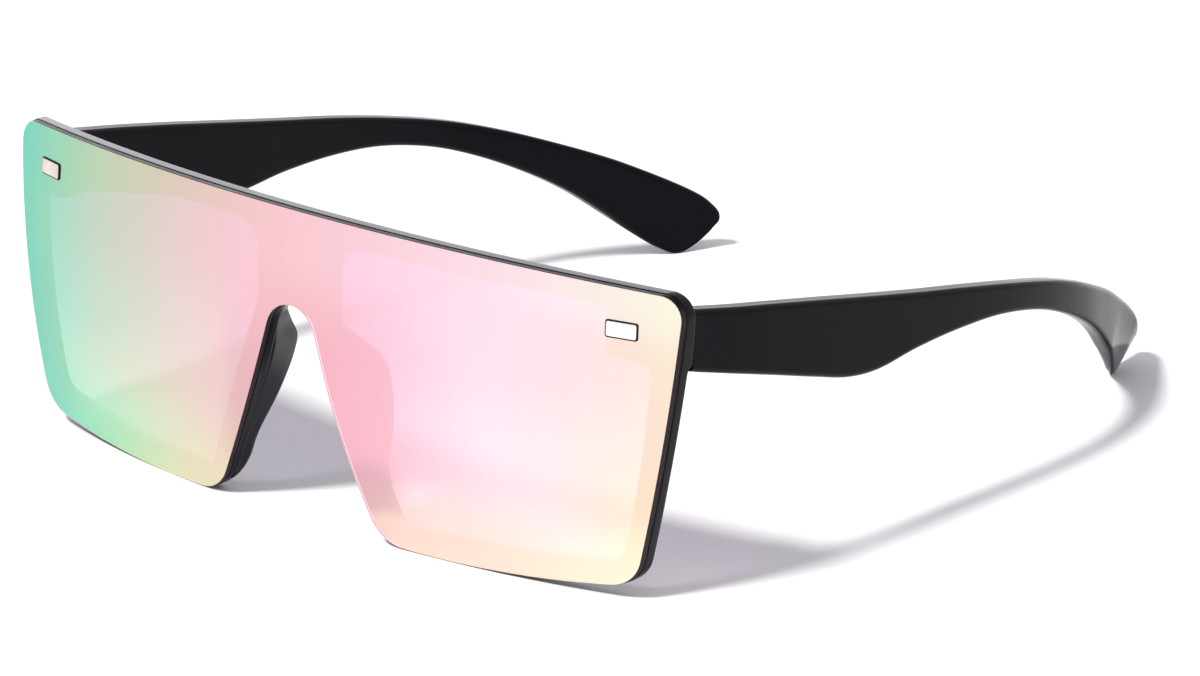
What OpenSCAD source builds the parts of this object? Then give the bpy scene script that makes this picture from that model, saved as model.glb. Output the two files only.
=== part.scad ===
// Flat-top shield sunglasses: one curved mirror lens on a moulded front, with two folding temples.
// Lengths are in millimetres. +Z is up, the lens faces -Y, and the wearer's left is at +X.
// The origin is on the ground, at the middle of the width and of the depth.

/* [Lens] */
// Width of the lens between its upper corners, before they are rounded
lens_w = 148.1; // [142:0.1:154]
// Height of the lens from its lowest edge to the middle of the top edge
lens_h = 52.1; // [48:0.1:57]
// Thickness of the lens
lens_t = 1.1; // [0.9:0.1:1.6]
// Radius of the ball that the lens front is part of
lens_r = 260.7; // [220:0.1:320]
// Height of the ball's centre above the lower inner corners of the lens
lens_mid_z = 25.3; // [18:0.1:30]
// Rise of the top edge in its middle
top_bow = 1.5; // [0.5:0.1:3]
// Outward bow of the outer edges
side_bow = 1.4; // [0.3:0.1:2]
// Downward bow of the two lower edges
foot_bow = 1.1; // [0.5:0.1:1.4]
// Radius of the upper corners
top_corner_r = 3.9; // [2:0.1:6]
// Radius of the lower outer corners
foot_corner_r = 6.4; // [4:0.2:9]
// Radius of the lower inner corners
nose_corner_r = 7.3; // [5:0.1:9]
// Width between the lower outer corners, before they are rounded
foot_w = 132.4; // [126:0.2:138]
// Rise of the lower edge from its inner to its outer corner
foot_rise = 2.2; // [1:0.1:4]

/* [Nose notch] */
// Width of the notch at the bottom of the lens, before the corners are rounded
notch_w = 36.6; // [33:0.2:41]
// Height at which the two sides of the notch would meet
notch_peak_z = 54.2; // [50:0.2:57]
// Radius at the top of the notch
notch_r = 5.5; // [4.5:0.1:6.5]
// Bow of the notch's sides into the notch
notch_bow = 2.1; // [1:0.1:2.6]

/* [Front] */
// Thickness of the moulded front behind the lens
front_t = 2; // [1.6:0.1:3]
// Width that shows of the front round the edge of the lens
reveal = 0.1; // [0.05:0.05:0.4]
// Glue film between the lens and the front
glue_t = 0.04; // [0.02:0.02:0.1]
// Width of the rim at the outer side of each eye opening
rim_side = 3.9; // [3:0.1:5]
// Width of the rim below each eye opening
rim_foot = 3.6; // [3:0.1:5]
// Width of the rim above each eye opening
rim_top = 3.9; // [3:0.1:5]
// Width of the rim between the notch and each eye opening
rim_nose = 3.9; // [3.2:0.1:4.8]
// Width of the solid bridge between the eye openings
bridge_w = 17.2; // [14:0.2:20]
// Greatest depth of the nose pads behind the front
pad_depth = 8.5; // [5:0.1:10]
// Outward lean of the nose pads at their greatest depth
pad_splay = 2; // [1:0.1:3]
// Radius of the nose pads' free edge
pad_edge_r = 1; // [0.6:0.1:1.4]

/* [End pieces] */
// Width of each end piece, from the upper corner of the lens inwards
end_w = 13.5; // [12.5:0.1:16]
// Height of the end pieces, from the upper corner of the lens down
end_h = 11.7; // [11:0.1:14]
// Distance from the outer ends of the curved lens front to the back of the end pieces
end_deep = 4.26; // [3.8:0.02:6]

/* [Temples] */
// Depth of the whole object, from the foremost plane to the temple tips
depth = 158.4; // [150:0.2:172]
// Thickness of the temples
temple_t = 3.8; // [3.2:0.1:4.4]
// Thickness at the lowest point of a tip as a share of the temple's thickness
tip_thin = 0.35; // [0.25:0.05:1]
// Height up to which a tip is thinner
tip_h = 9; // [4:0.5:12]
// How far the temples lean inwards at the floor, which fades out over the same height
tip_lean = 1.4; // [0:0.1:2]
// Rounding of the temples' long edges
temple_edge_r = 1.2; // [0.6:0.1:1.4]
// Distance of the temples' middle planes from the sides of the lens at the hinges
temple_in = 2.85; // [2.4:0.05:3.2]
// Distance of the temples' upper edge below the upper corners of the lens at the hinges
temple_drop = 2.55; // [1.4:0.05:3.6]
// How far the temple tips lie inside the hinges' middle planes
curl = 23.25; // [16:0.05:28]
// Gap between the end pieces and the temples when open
stop_gap = 0.2; // [0.1:0.05:0.3]

/* [Hinges] */
// Outer radius of the hinge barrels
barrel_r = 1.25; // [1.1:0.05:1.4]
// Height of each of the three barrels
barrel_h = 1.6; // [1.4:0.1:2]
// Gap between neighbouring barrels
barrel_gap = 0.1; // [0.06:0.02:0.16]
// Radius of the hinge screw's shank
screw_r = 0.6; // [0.5:0.05:0.7]
// Clearance between the shank and the bores all round
screw_clear = 0.03; // [0.02:0.01:0.06]
// Radius of the screw's head
head_r = 1.05; // [0.95:0.05:1.1]
// Thickness of the screw's head
head_t = 0.55; // [0.4:0.05:0.8]
// Thickness of the tang that is sunk into the end piece
tang_t = 1.1; // [0.8:0.1:1.4]
// Depth to which the tang is sunk
tang_sunk = 2.6; // [2:0.1:3]
// Length of the leaf on the inner face of the temple
leaf_l = 7; // [6:0.5:11]
// Height of the leaf on the inner face of the temple
leaf_h = 4.2; // [3.6:0.2:5.4]
// Thickness of that leaf
leaf_t = 1; // [0.8:0.1:1.3]
// Depth to which that leaf is sunk into the temple
leaf_sunk = 0.65; // [0.5:0.05:0.75]
// Radius of the two anchor pegs under that leaf
peg_r = 0.55; // [0.4:0.05:0.7]
// Length of the anchor pegs
peg_l = 1.3; // [0.8:0.1:1.6]

/* [Plaques] */
// Length of the metal plaques
plaque_w = 5.8; // [4.6:0.1:7]
// Height of the metal plaques
plaque_h = 2.9; // [2.2:0.1:3.6]
// Thickness of the metal plaques
plaque_t = 0.3; // [0.2:0.1:0.9]
// Width of the bevel round their face
plaque_bevel = 0.15; // [0.1:0.05:0.4]
// Distance of a plaque's middle from the side of the lens
plaque_in = 10.1; // [9:0.1:11]
// Distance of a plaque's middle below the top of the lens
plaque_down = 7.8; // [6.4:0.1:8.6]
// Radius of the posts behind the plaques
post_r = 0.6; // [0.4:0.05:0.8]
// Distance between the two posts of a plaque
post_pitch = 3.4; // [2.6:0.1:4]
// Depth of the posts in the end piece
post_sunk = 2.2; // [1.5:0.1:2.4]

/* [Hidden] */

// Steps in a rounded corner, along a side, round a drilled hole and round the big ball
corner_steps = 8;
side_steps = 8;
hole_fn = 32;
ball_fn = 240;
// Clearance round pieces that are sunk into moulded parts
seat = 0.03;
// How far every cut runs past the face that it opens
over = 2;

// Unit vector along v
function unit(v) = v / norm(v);
// v turned a quarter turn to the left
function left_of(v) = [-v[1], v[0]];

// A side that runs from p to q and bows outwards by bow: its circle's centre and radius
function side(p, q, bow) =
    let (l = norm(q - p), r = (l * l / 4 + bow * bow) / (2 * bow))
    [(p + q) / 2 + left_of(unit(q - p)) * (r - bow), r];

// Where two circles cross, on the side of the point near
function meet(c1, r1, c2, r2, near) =
    let (
        d = norm(c2 - c1),
        a = (r1 * r1 - r2 * r2 + d * d) / (2 * d),
        mid = c1 + unit(c2 - c1) * a,
        off = left_of(unit(c2 - c1)) * sqrt(max(0, r1 * r1 - a * a))
    )
    norm(mid + off - near) < norm(mid - off - near) ? mid + off : mid - off;

// Points on the circle round c, from p to q the short way
function arc(c, p, q, steps) =
    let (
        r = norm(p - c),
        a = atan2(p[1] - c[1], p[0] - c[0]),
        b = atan2(q[1] - c[1], q[0] - c[0]),
        turn = b - a > 180 ? b - a - 360 : b - a < -180 ? b - a + 360 : b - a
    )
    [for (i = [0 : steps]) c + r * [cos(a + turn * i / steps), sin(a + turn * i / steps)]];

// A closed outline, counter-clockwise. Each corner is [x, z, radius], where an inside corner has a
// negative radius, and each side bows by its bow. All of it grows outwards by grow.
function outline(corners, bows, grow = 0) =
    let (
        n = len(corners),
        at = [for (c = corners) [c[0], c[1]]],
        sides = [for (i = [0 : n - 1]) side(at[i], at[(i + 1) % n], bows[i])],
        before = [for (i = [0 : n - 1]) sides[(i + n - 1) % n]],
        rounds = [for (i = [0 : n - 1]) let (r = corners[i][2])
            meet(before[i][0], before[i][1] - r, sides[i][0], sides[i][1] - r, at[i])],
        starts = [for (i = [0 : n - 1])
            before[i][0] + unit(rounds[i] - before[i][0]) * (before[i][1] + grow)],
        ends = [for (i = [0 : n - 1])
            sides[i][0] + unit(rounds[i] - sides[i][0]) * (sides[i][1] + grow)]
    )
    [for (i = [0 : n - 1]) each concat(
        arc(rounds[i], starts[i], ends[i], corner_steps),
        let (run = arc(sides[i][0], ends[i], starts[(i + 1) % n], side_steps))
            [for (k = [1 : side_steps - 1]) run[k]]
    )];

// The smooth curve through pts, at the place s counted in points
function through(pts, s) =
    let (
        last = len(pts) - 1,
        i = max(0, min(floor(s), last - 1)),
        t = s - i,
        a = pts[max(i - 1, 0)], b = pts[i], c = pts[i + 1], d = pts[min(i + 2, last)]
    )
    b + t * ((c - a) + t * ((2 * a - 5 * b + 4 * c - d) + t * (3 * b - a - 3 * c + d))) / 2;

// Corners of the lens outline, with z counted from the inner ends of the lower edges
half_w = lens_w / 2;
corner_z = lens_h - top_bow;
lens_corners = [
    [foot_w / 2, foot_rise, foot_corner_r],
    [half_w, corner_z, top_corner_r],
    [-half_w, corner_z, top_corner_r],
    [-foot_w / 2, foot_rise, foot_corner_r],
    [-notch_w / 2, 0, nose_corner_r],
    [0, notch_peak_z, -notch_r],
    [notch_w / 2, 0, nose_corner_r]
];
lens_bows = [side_bow, top_bow, side_bow, foot_bow, notch_bow, notch_bow, foot_bow];

// The front's lower edge stands on the ground
foot_arc = side([notch_w / 2, 0], [foot_w / 2, foot_rise], foot_bow);
lift = foot_arc[1] + reveal - foot_arc[0][1];

// Half distance between the temples' middle planes, and height of their upper edge, at the hinges
temple_x = half_w - temple_in;
temple_z = lift + corner_z - temple_drop;

// The front's own outer radius, and the place of the ball's centre
front_r = lens_r - lens_t - glue_t;
ball_z = lift + lens_mid_z;

// Distance behind the foremost plane of a ball of radius r at x and height z
function ball_y(r, x, z) = lens_r - sqrt(r * r - x * x - (z - ball_z) * (z - ball_z));

// Distance from the foremost plane of the lens to the back of the end pieces
end_back = ball_y(lens_r, half_w, ball_z) + end_deep;

// An outline stood up and run backwards from the foremost plane
module wall(pts, back) {
    translate([0, back, lift])
        rotate([90, 0, 0])
            linear_extrude(height = back + over)
                polygon(pts);
}

// The ball that a curved face is part of
module ball(r) {
    translate([0, lens_r, ball_z])
        sphere(r = r, $fn = ball_fn);
}

// Places children on the lens front at x and height z, with their +Z pointing out of the lens
module on_lens(x, z) {
    lean = asin((z - ball_z) / lens_r);
    turn = asin(x / lens_r / cos(lean));
    translate([x, ball_y(lens_r, x, z), z])
        rotate([0, 0, turn])
            rotate([90 - lean, 0, 0])
                children();
}

// Places children for the wearer's left side, or mirrored for the right side
module at_side(s) {
    if (s > 0) children();
    else mirror([1, 0, 0]) children();
}

// The origin is moved to the middle of the depth
module placed() {
    translate([0, -depth / 2, 0]) children();
}

plaque_x = half_w - plaque_in;
plaque_z = lift + lens_h - plaque_down;

// The two post axes of a plaque, each of radius r and running from top down to low
module posts(r, top, low) {
    for (s = [-1, 1])
        translate([s * post_pitch / 2, 0, low])
            cylinder(r = r, h = top - low, $fn = hole_fn);
}

module shield_lens() {
    color([0.95, 0.72, 0.78])
        placed()
            difference() {
                intersection() {
                    wall(outline(lens_corners, lens_bows), end_back);
                    ball(lens_r);
                }
                ball(lens_r - lens_t);
                for (s = [-1, 1])
                    at_side(s)
                        on_lens(plaque_x, plaque_z)
                            posts(post_r + seat, over, -over);
            }
}

// One side of the notch, the middle of the round at its top, and how high it reaches
notch_arc = side([0, notch_peak_z], [notch_w / 2, 0], notch_bow);
notch_round = meet(notch_arc[0], notch_arc[1] + notch_r, [-notch_arc[0][0], notch_arc[0][1]],
    notch_arc[1] + notch_r, [0, notch_peak_z]);
notch_top = notch_round[1] + notch_r;

// Eye opening of the wearer's left side. Its lower and outer sides follow the lens edge, and its
// upper outer corner leaves the end piece solid.
eye_top = corner_z - rim_top + top_bow * 0.9;
eye_end_z = corner_z - end_h;
eye_end_x = half_w - end_w;
lens_slope = (half_w - foot_w / 2) / (corner_z - foot_rise);
notch_slope = notch_w / 2 / notch_peak_z;
// Height at which the opening's inner side turns up along the bridge
eye_bridge_z = notch_top * 0.965;
// Radii of the opening's corners as shares of the lens's own corner radii
eye_foot_r = foot_corner_r * 0.55;
eye_nose_r = nose_corner_r * 0.35;
eye_top_r = nose_corner_r * 0.7;
eye_small_r = top_corner_r * 0.3;
eye_corners = [
    [notch_w / 2 + rim_nose - rim_foot * notch_slope, rim_foot, eye_nose_r],
    [foot_w / 2 - rim_side + rim_foot * lens_slope + side_bow / 2, rim_foot + foot_rise, eye_foot_r],
    [half_w - rim_side - end_h * lens_slope + side_bow * 0.2, eye_end_z, eye_small_r * 2],
    [eye_end_x, eye_end_z + eye_small_r / 2, -eye_small_r],
    [eye_end_x - eye_small_r / 2, eye_top - top_bow * 0.4, eye_small_r],
    [bridge_w / 2, eye_top, eye_top_r],
    [bridge_w / 2, eye_bridge_z, nose_corner_r]
];
straight_bow = 0.05;
eye_bows = [foot_bow / 2, side_bow * 0.6, straight_bow, straight_bow, straight_bow, straight_bow, straight_bow];

// Nose pad: height, depth and lean along the notch, as shares of the notch's height, the pad's
// depth and the pad's splay
pad_z_shares = [0.055, 0.07, 0.1, 0.14, 0.19, 0.24, 0.31, 0.43, 0.51, 0.59, 0.67, 0.745, 0.83, 0.915, 0.985];
pad_depth_shares = [0, 0.1, 0.21, 0.28, 0.32, 0.34, 0.43, 0.71, 0.86, 0.96, 1, 0.96, 0.66, 0.3, 0.06];
pad_splay_shares = [0, 0, 0, 0, 0.05, 0.12, 0.25, 0.57, 0.77, 0.9, 0.97, 1, 0.85, 0.3, 0];
// Half width of the notch in the front, at height z over the lens's lower inner corners
function notch_x(z) =
    z > notch_round[1] + (notch_r - reveal) / 2
    ? sqrt(max(0, pow(notch_r - reveal, 2) - pow(z - notch_round[1], 2)))
    : notch_arc[0][0] - sqrt(pow(notch_arc[1] + reveal, 2) - pow(z - notch_arc[0][1], 2));

// One level slice of the pad: its root in the rim, and the round free edge
pad_fan = [150, 120, 90, 60, 30, 0];
pad_root = rim_nose * 0.75;
function pad_slice(i) =
    let (
        z = pad_z_shares[i] * notch_top,
        x = notch_x(z),
        y = ball_y(front_r, x, z + lift) + front_t / 2,
        edge_x = x + pad_edge_r + pad_splay * pad_splay_shares[i],
        edge_y = y + front_t / 2 - pad_edge_r + pad_depth * pad_depth_shares[i]
    )
    concat(
        [[x + straight_bow, y, z + lift]],
        [for (a = pad_fan) [edge_x + pad_edge_r * cos(a), edge_y + pad_edge_r * sin(a), z + lift]],
        [[x + pad_root, y, z + lift]]
    );

// A solid through rings of points that all have the same count
module loft(rings) {
    n = len(rings[0]);
    m = len(rings);
    polyhedron(
        points = [for (ring = rings) each ring],
        faces = concat(
            [[for (k = [0 : n - 1]) k]],
            [for (i = [0 : m - 2], k = [0 : n - 1]) let (q = (k + 1) % n)
                [i * n + k, (i + 1) * n + k, (i + 1) * n + q]],
            [for (i = [0 : m - 2], k = [0 : n - 1]) let (q = (k + 1) % n)
                [i * n + k, (i + 1) * n + q, i * n + q]],
            [[for (k = [0 : n - 1]) (m - 1) * n + n - 1 - k]]
        )
    );
}

// Hinge axis: beside the temple's inner face and behind the end piece
axis_x = temple_x - temple_t / 2 - barrel_r - seat * 5;
axis_y = end_back + barrel_r + seat * 5;
hinge_h = 3 * barrel_h + 2 * barrel_gap;
axis_z = temple_z * 0.88;

// The rim, the end pieces and the nose pads are one moulding
module front_frame() {
    front = outline(lens_corners, lens_bows, reveal);
    color([0.06, 0.06, 0.08])
        placed() {
            difference() {
                union() {
                    difference() {
                        intersection() {
                            wall(front, end_back);
                            ball(front_r);
                        }
                        ball(front_r - front_t);
                    }
                    for (s = [-1, 1])
                        at_side(s)
                            intersection() {
                                wall(front, end_back);
                                ball(front_r);
                                translate([eye_end_x - eye_small_r / 2, 0, lift + eye_end_z])
                                    cube([end_w * 2, end_back, temple_z - lift - eye_end_z]);
                            }
                }
                for (s = [-1, 1])
                    at_side(s) {
                        wall(outline(eye_corners, eye_bows), end_back + over);
                        on_lens(plaque_x, plaque_z)
                            posts(post_r + seat, 0, -lens_t - glue_t - post_sunk - seat);
                        tang(seat);
                    }
            }
            for (s = [-1, 1])
                at_side(s)
                    loft([for (i = [len(pad_z_shares) - 1 : -1 : 0]) pad_slice(i)]);
        }
}

// The flat tang of the front hinge, grown all round by gap for its seat in the end piece
module tang(gap) {
    translate([axis_x - tang_t / 2 - gap, end_back - tang_sunk - gap, axis_z - hinge_h / 2 - gap])
        cube([tang_t + 2 * gap, tang_sunk + axis_y - end_back + gap, hinge_h + 2 * gap]);
}

// Three barrels on one axis are counted from below; this places children at the foot of barrel k
module at_barrel(k) {
    translate([axis_x, axis_y, axis_z - hinge_h / 2 + k * (barrel_h + barrel_gap)])
        children();
}

// The screw's bore through the whole hinge
module bore() {
    at_barrel(0)
        translate([0, 0, -over])
            cylinder(r = screw_r + screw_clear, h = hinge_h + 2 * over, $fn = hole_fn);
}

// The hinge half of the front: a tang with the lower and the upper barrel
module front_hinge(s) {
    color([0.72, 0.72, 0.74])
        placed()
            at_side(s)
                difference() {
                    union() {
                        tang(0);
                        for (k = [0, 2])
                            at_barrel(k)
                                cylinder(r = barrel_r, h = barrel_h, $fn = hole_fn);
                    }
                    at_barrel(1)
                        translate([0, 0, -barrel_gap])
                            cylinder(r = barrel_r + seat * 5, h = barrel_h + 2 * barrel_gap, $fn = hole_fn);
                    bore();
                }
}

// Inner face of the temple at the hinge, and the back of the leaf that is sunk into it
inner_x = temple_x - temple_t / 2;
leaf_y = axis_y + barrel_r + seat * 5;

// The leaf on the inner face of the temple, grown by gap for its seat
module leaf(gap) {
    translate([inner_x + leaf_sunk - leaf_t - gap, leaf_y - gap, axis_z - leaf_h / 2 - gap])
        cube([leaf_t + 2 * gap, leaf_l + 2 * gap, leaf_h + 2 * gap]);
    for (k = [0.25, 0.75])
        translate([inner_x + leaf_sunk - leaf_t / 2, leaf_y + leaf_l * k, axis_z])
            rotate([0, 90, 0])
                cylinder(r = peg_r + gap, h = leaf_t / 2 + peg_l + gap, $fn = hole_fn);
}

// The hinge half of the temple: a leaf with the middle barrel
module temple_hinge(s) {
    color([0.72, 0.72, 0.74])
        placed()
            at_side(s)
                difference() {
                    union() {
                        leaf(0);
                        at_barrel(1)
                            cylinder(r = barrel_r, h = barrel_h, $fn = hole_fn);
                        at_barrel(1)
                            translate([inner_x + leaf_sunk - leaf_t - axis_x - seat, 0, 0])
                                cube([leaf_t - leaf_sunk, barrel_r * 2, barrel_h]);
                    }
                    bore();
                }
}

// The hinge screw, with a slotted head on the upper barrel
slot_w = 0.3;
module hinge_screw(s) {
    color([0.8, 0.8, 0.82])
        placed()
            at_side(s)
                at_barrel(0)
                    difference() {
                        union() {
                            cylinder(r = screw_r, h = hinge_h + head_t / 2, $fn = hole_fn);
                            translate([0, 0, hinge_h + seat])
                                cylinder(r = head_r, h = head_t, $fn = hole_fn);
                        }
                        translate([-head_r * 2, -slot_w / 2, hinge_h + seat + head_t / 2])
                            cube([head_r * 4, slot_w, head_t]);
                    }
}

// Upper and lower edge of a temple from the hinge to the tip, as shares of the temple's length
// and of the height of its upper edge
top_shares = [
    [0, 1], [0.062, 0.966], [0.131, 0.931], [0.208, 0.89], [0.271, 0.855], [0.327, 0.824],
    [0.397, 0.786], [0.481, 0.742], [0.564, 0.693], [0.649, 0.634], [0.726, 0.562], [0.796, 0.483],
    [0.859, 0.404], [0.906, 0.334], [0.946, 0.269], [0.975, 0.215], [0.991, 0.173], [0.999, 0.144],
    [1, 0.121]
];
low_shares = [
    [0, 0.786], [0.062, 0.738], [0.131, 0.684], [0.205, 0.624], [0.261, 0.582], [0.314, 0.571],
    [0.383, 0.595], [0.464, 0.605], [0.544, 0.593], [0.624, 0.546], [0.694, 0.473], [0.76, 0.38],
    [0.813, 0.285], [0.859, 0.179], [0.893, 0.092], [0.92, 0.03], [0.943, 0], [0.967, 0.028],
    [0.989, 0.077]
];
temple_y = end_back + stop_gap;
temple_l = depth - temple_y;
stations = 2 * (len(top_shares) - 1);

// How far the temples lie inside the hinges' middle planes, at equal steps from the hinge to the
// tip and one step beyond it, as shares of the whole curl
curl_shares = [0, -0.028, -0.037, -0.034, -0.026, -0.014, 0.01, 0.062, 0.157, 0.31, 0.53, 0.772, 1, 1.2];

// Half distance between the temples' middle planes at the depth y, and how fast it changes
function plan_x(y) =
    temple_x - curl * through(curl_shares, (y - temple_y) / temple_l * (len(curl_shares) - 2));
function plan_slope(y) = (plan_x(y + seat) - plan_x(y - seat)) / (2 * seat);

// Half the temple's thickness at height z, where only the tip is thinner
function half_thick(z) = temple_t / 2 * min(1, tip_thin + (1 - tip_thin) * z / tip_h);

// How far a temple leans inwards at height z
function tip_in(z) = tip_lean * pow(max(0, 1 - z / tip_h), 2);

// One ring of a temple: a rounded bar between the upper and the lower edge, which gets rounder
// towards the tip
tip_power = 6;
fan = [0, 45, 90];
function temple_ring(i) =
    let (
        a = through(top_shares, i / 2),
        b = through(low_shares, i / 2),
        high = [temple_y + a[0] * temple_l, a[1] * temple_z],
        low = [temple_y + b[0] * temple_l, b[1] * temple_z],
        mid = (high + low) / 2,
        up = unit(high - low),
        half_h = norm(high - low) / 2,
        full = pow(i / stations, tip_power),
        ends = [[1, 1], [-1, 1], [-1, -1], [1, -1]]
    )
    [for (k = [0 : 3], f = fan) let (
        turn = f + 90 * k,
        half_t = half_thick(k < 2 ? high[1] : low[1]),
        r = min(temple_edge_r * (1 - full) + half_t * full, half_h * 0.98, half_t * 0.98),
        w = ends[k][0] * (half_t - r) + r * cos(turn),
        h = ends[k][1] * (half_h - r) + r * sin(turn),
        at = mid + up * h
    ) [plan_x(at[0]) - tip_in(at[1]) + w * sqrt(1 + pow(plan_slope(at[0]), 2)), at[0], at[1]]];

module temple(s) {
    color([0.05, 0.05, 0.07])
        placed()
            at_side(s)
                difference() {
                    loft([for (i = [0 : stations]) temple_ring(stations - i)]);
                    leaf(seat);
                }
}

// A bevelled metal plaque with two posts, which pins the lens to the end piece
module plaque(s) {
    color([0.9, 0.9, 0.92])
        placed()
            at_side(s)
                on_lens(plaque_x, plaque_z) {
                    hull() {
                        translate([-plaque_w / 2, -plaque_h / 2, seat])
                            cube([plaque_w, plaque_h, plaque_t / 2]);
                        translate([plaque_bevel - plaque_w / 2, plaque_bevel - plaque_h / 2, seat])
                            cube([plaque_w - 2 * plaque_bevel, plaque_h - 2 * plaque_bevel, plaque_t]);
                    }
                    posts(post_r, plaque_t / 2, -lens_t - glue_t - post_sunk);
                }
}

module left_temple() { temple(1); }
module left_front_hinge() { front_hinge(1); }
module left_temple_hinge() { temple_hinge(1); }
module left_hinge_screw() { hinge_screw(1); }
module left_plaque() { plaque(1); }
module right_temple() { temple(-1); }
module right_front_hinge() { front_hinge(-1); }
module right_temple_hinge() { temple_hinge(-1); }
module right_hinge_screw() { hinge_screw(-1); }
module right_plaque() { plaque(-1); }

shield_lens();
front_frame();
left_temple();
left_front_hinge();
left_temple_hinge();
left_hinge_screw();
left_plaque();
right_temple();
right_front_hinge();
right_temple_hinge();
right_hinge_screw();
right_plaque();
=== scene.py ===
"""The looks of the shield sunglasses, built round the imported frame. Shapes are worked out in
millimetres from the same sizes as the CAD source and stored in metres."""

import math

import bmesh
import bpy
import numpy as np
from mathutils import Matrix, Vector
from mathutils.geometry import delaunay_2d_cdt


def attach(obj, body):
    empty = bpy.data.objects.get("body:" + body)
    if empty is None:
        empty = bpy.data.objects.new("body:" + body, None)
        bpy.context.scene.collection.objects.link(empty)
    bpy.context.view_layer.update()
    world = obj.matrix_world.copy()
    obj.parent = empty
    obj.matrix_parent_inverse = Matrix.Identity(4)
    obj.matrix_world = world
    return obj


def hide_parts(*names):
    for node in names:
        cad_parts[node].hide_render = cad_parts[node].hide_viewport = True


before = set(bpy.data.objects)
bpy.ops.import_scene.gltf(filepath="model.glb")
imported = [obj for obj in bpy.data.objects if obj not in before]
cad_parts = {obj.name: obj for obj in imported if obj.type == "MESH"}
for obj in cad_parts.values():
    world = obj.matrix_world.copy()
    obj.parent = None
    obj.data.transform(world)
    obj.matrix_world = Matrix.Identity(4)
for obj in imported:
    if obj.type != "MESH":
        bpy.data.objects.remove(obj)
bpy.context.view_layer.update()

MM = 0.001
DEPTH = 158.4

# Sizes in millimetres, as in the CAD source: the lens, the front with its end pieces and nose pads,
# the temples, and the plaques with their posts
LENS_W, LENS_H, LENS_T, LENS_R, LENS_MID_Z = 148.1, 52.1, 1.1, 260.7, 25.3
TOP_BOW, SIDE_BOW, FOOT_BOW = 1.5, 1.4, 1.1
TOP_CORNER_R, FOOT_CORNER_R, NOSE_CORNER_R = 3.9, 6.4, 7.3
FOOT_W, FOOT_RISE = 132.4, 2.2
NOTCH_W, NOTCH_PEAK_Z, NOTCH_R, NOTCH_BOW = 36.6, 54.2, 5.5, 2.1
FRONT_T, REVEAL, GLUE_T = 2.0, 0.1, 0.04
RIM_SIDE, RIM_FOOT, RIM_TOP, RIM_NOSE, BRIDGE_W = 3.9, 3.6, 3.9, 3.9, 17.2
PAD_DEPTH, PAD_SPLAY, PAD_EDGE_R = 8.5, 2.0, 1.0
END_W, END_H, END_DEEP = 13.5, 11.7, 4.26
TEMPLE_T, TIP_THIN, TIP_H, TIP_LEAN, TEMPLE_EDGE_R = 3.8, 0.35, 9.0, 1.4, 1.2
TEMPLE_IN, TEMPLE_DROP, CURL, STOP_GAP = 2.85, 2.55, 23.25, 0.2
PLAQUE_W, PLAQUE_H, PLAQUE_IN, PLAQUE_DOWN = 5.8, 2.9, 10.1, 7.8
POST_R, POST_PITCH, POST_SUNK = 0.6, 3.4, 2.2


# Plane curves, as in the CAD source

def vec(*values):
    return np.array(values, float)


def unit(v):
    return v / np.linalg.norm(v)


def left_of(v):
    return vec(-v[1], v[0])


def side(p, q, bow):
    length = np.linalg.norm(q - p)
    r = (length * length / 4 + bow * bow) / (2 * bow)
    return (p + q) / 2 + left_of(unit(q - p)) * (r - bow), r


def meet(c1, r1, c2, r2, near):
    d = np.linalg.norm(c2 - c1)
    a = (r1 * r1 - r2 * r2 + d * d) / (2 * d)
    mid = c1 + unit(c2 - c1) * a
    off = left_of(unit(c2 - c1)) * math.sqrt(max(0.0, r1 * r1 - a * a))
    return min((mid + off, mid - off), key=lambda p: np.linalg.norm(p - near))


def arc(c, p, q, shares):
    r = np.linalg.norm(p - c)
    a = math.atan2(p[1] - c[1], p[0] - c[0])
    b = math.atan2(q[1] - c[1], q[0] - c[0])
    turn = (b - a + math.pi) % (2 * math.pi) - math.pi
    return [c + r * vec(math.cos(a + turn * t), math.sin(a + turn * t)) for t in shares]


def outline(corners, bows, grow=0.0, corner_n=16, side_shares=None, side_n=48):
    """A closed outline, counter-clockwise. It has the same points in the same order for any grow."""
    n = len(corners)
    at = [vec(c[0], c[1]) for c in corners]
    sides = [side(at[i], at[(i + 1) % n], bows[i]) for i in range(n)]
    before = [sides[i - 1] for i in range(n)]
    rounds = [meet(before[i][0], before[i][1] - corners[i][2],
                   sides[i][0], sides[i][1] - corners[i][2], at[i]) for i in range(n)]
    starts = [before[i][0] + unit(rounds[i] - before[i][0]) * (before[i][1] + grow) for i in range(n)]
    ends = [sides[i][0] + unit(rounds[i] - sides[i][0]) * (sides[i][1] + grow) for i in range(n)]
    pts = []
    for i in range(n):
        pts += arc(rounds[i], starts[i], ends[i], [k / corner_n for k in range(corner_n + 1)])
        shares = (side_shares or {}).get(i) or [k / side_n for k in range(1, side_n)]
        pts += arc(sides[i][0], ends[i], starts[(i + 1) % n], shares)
    return np.array(pts)


def through(pts, s):
    """The smooth curve through pts, at the place s counted in points."""
    pts = np.asarray(pts, float)
    last = len(pts) - 1
    i = max(0, min(int(math.floor(s)), last - 1))
    t = s - i
    a, b, c, d = pts[max(i - 1, 0)], pts[i], pts[i + 1], pts[min(i + 2, last)]
    return b + t * ((c - a) + t * ((2 * a - 5 * b + 4 * c - d) + t * (3 * b - a - 3 * c + d))) / 2


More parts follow.
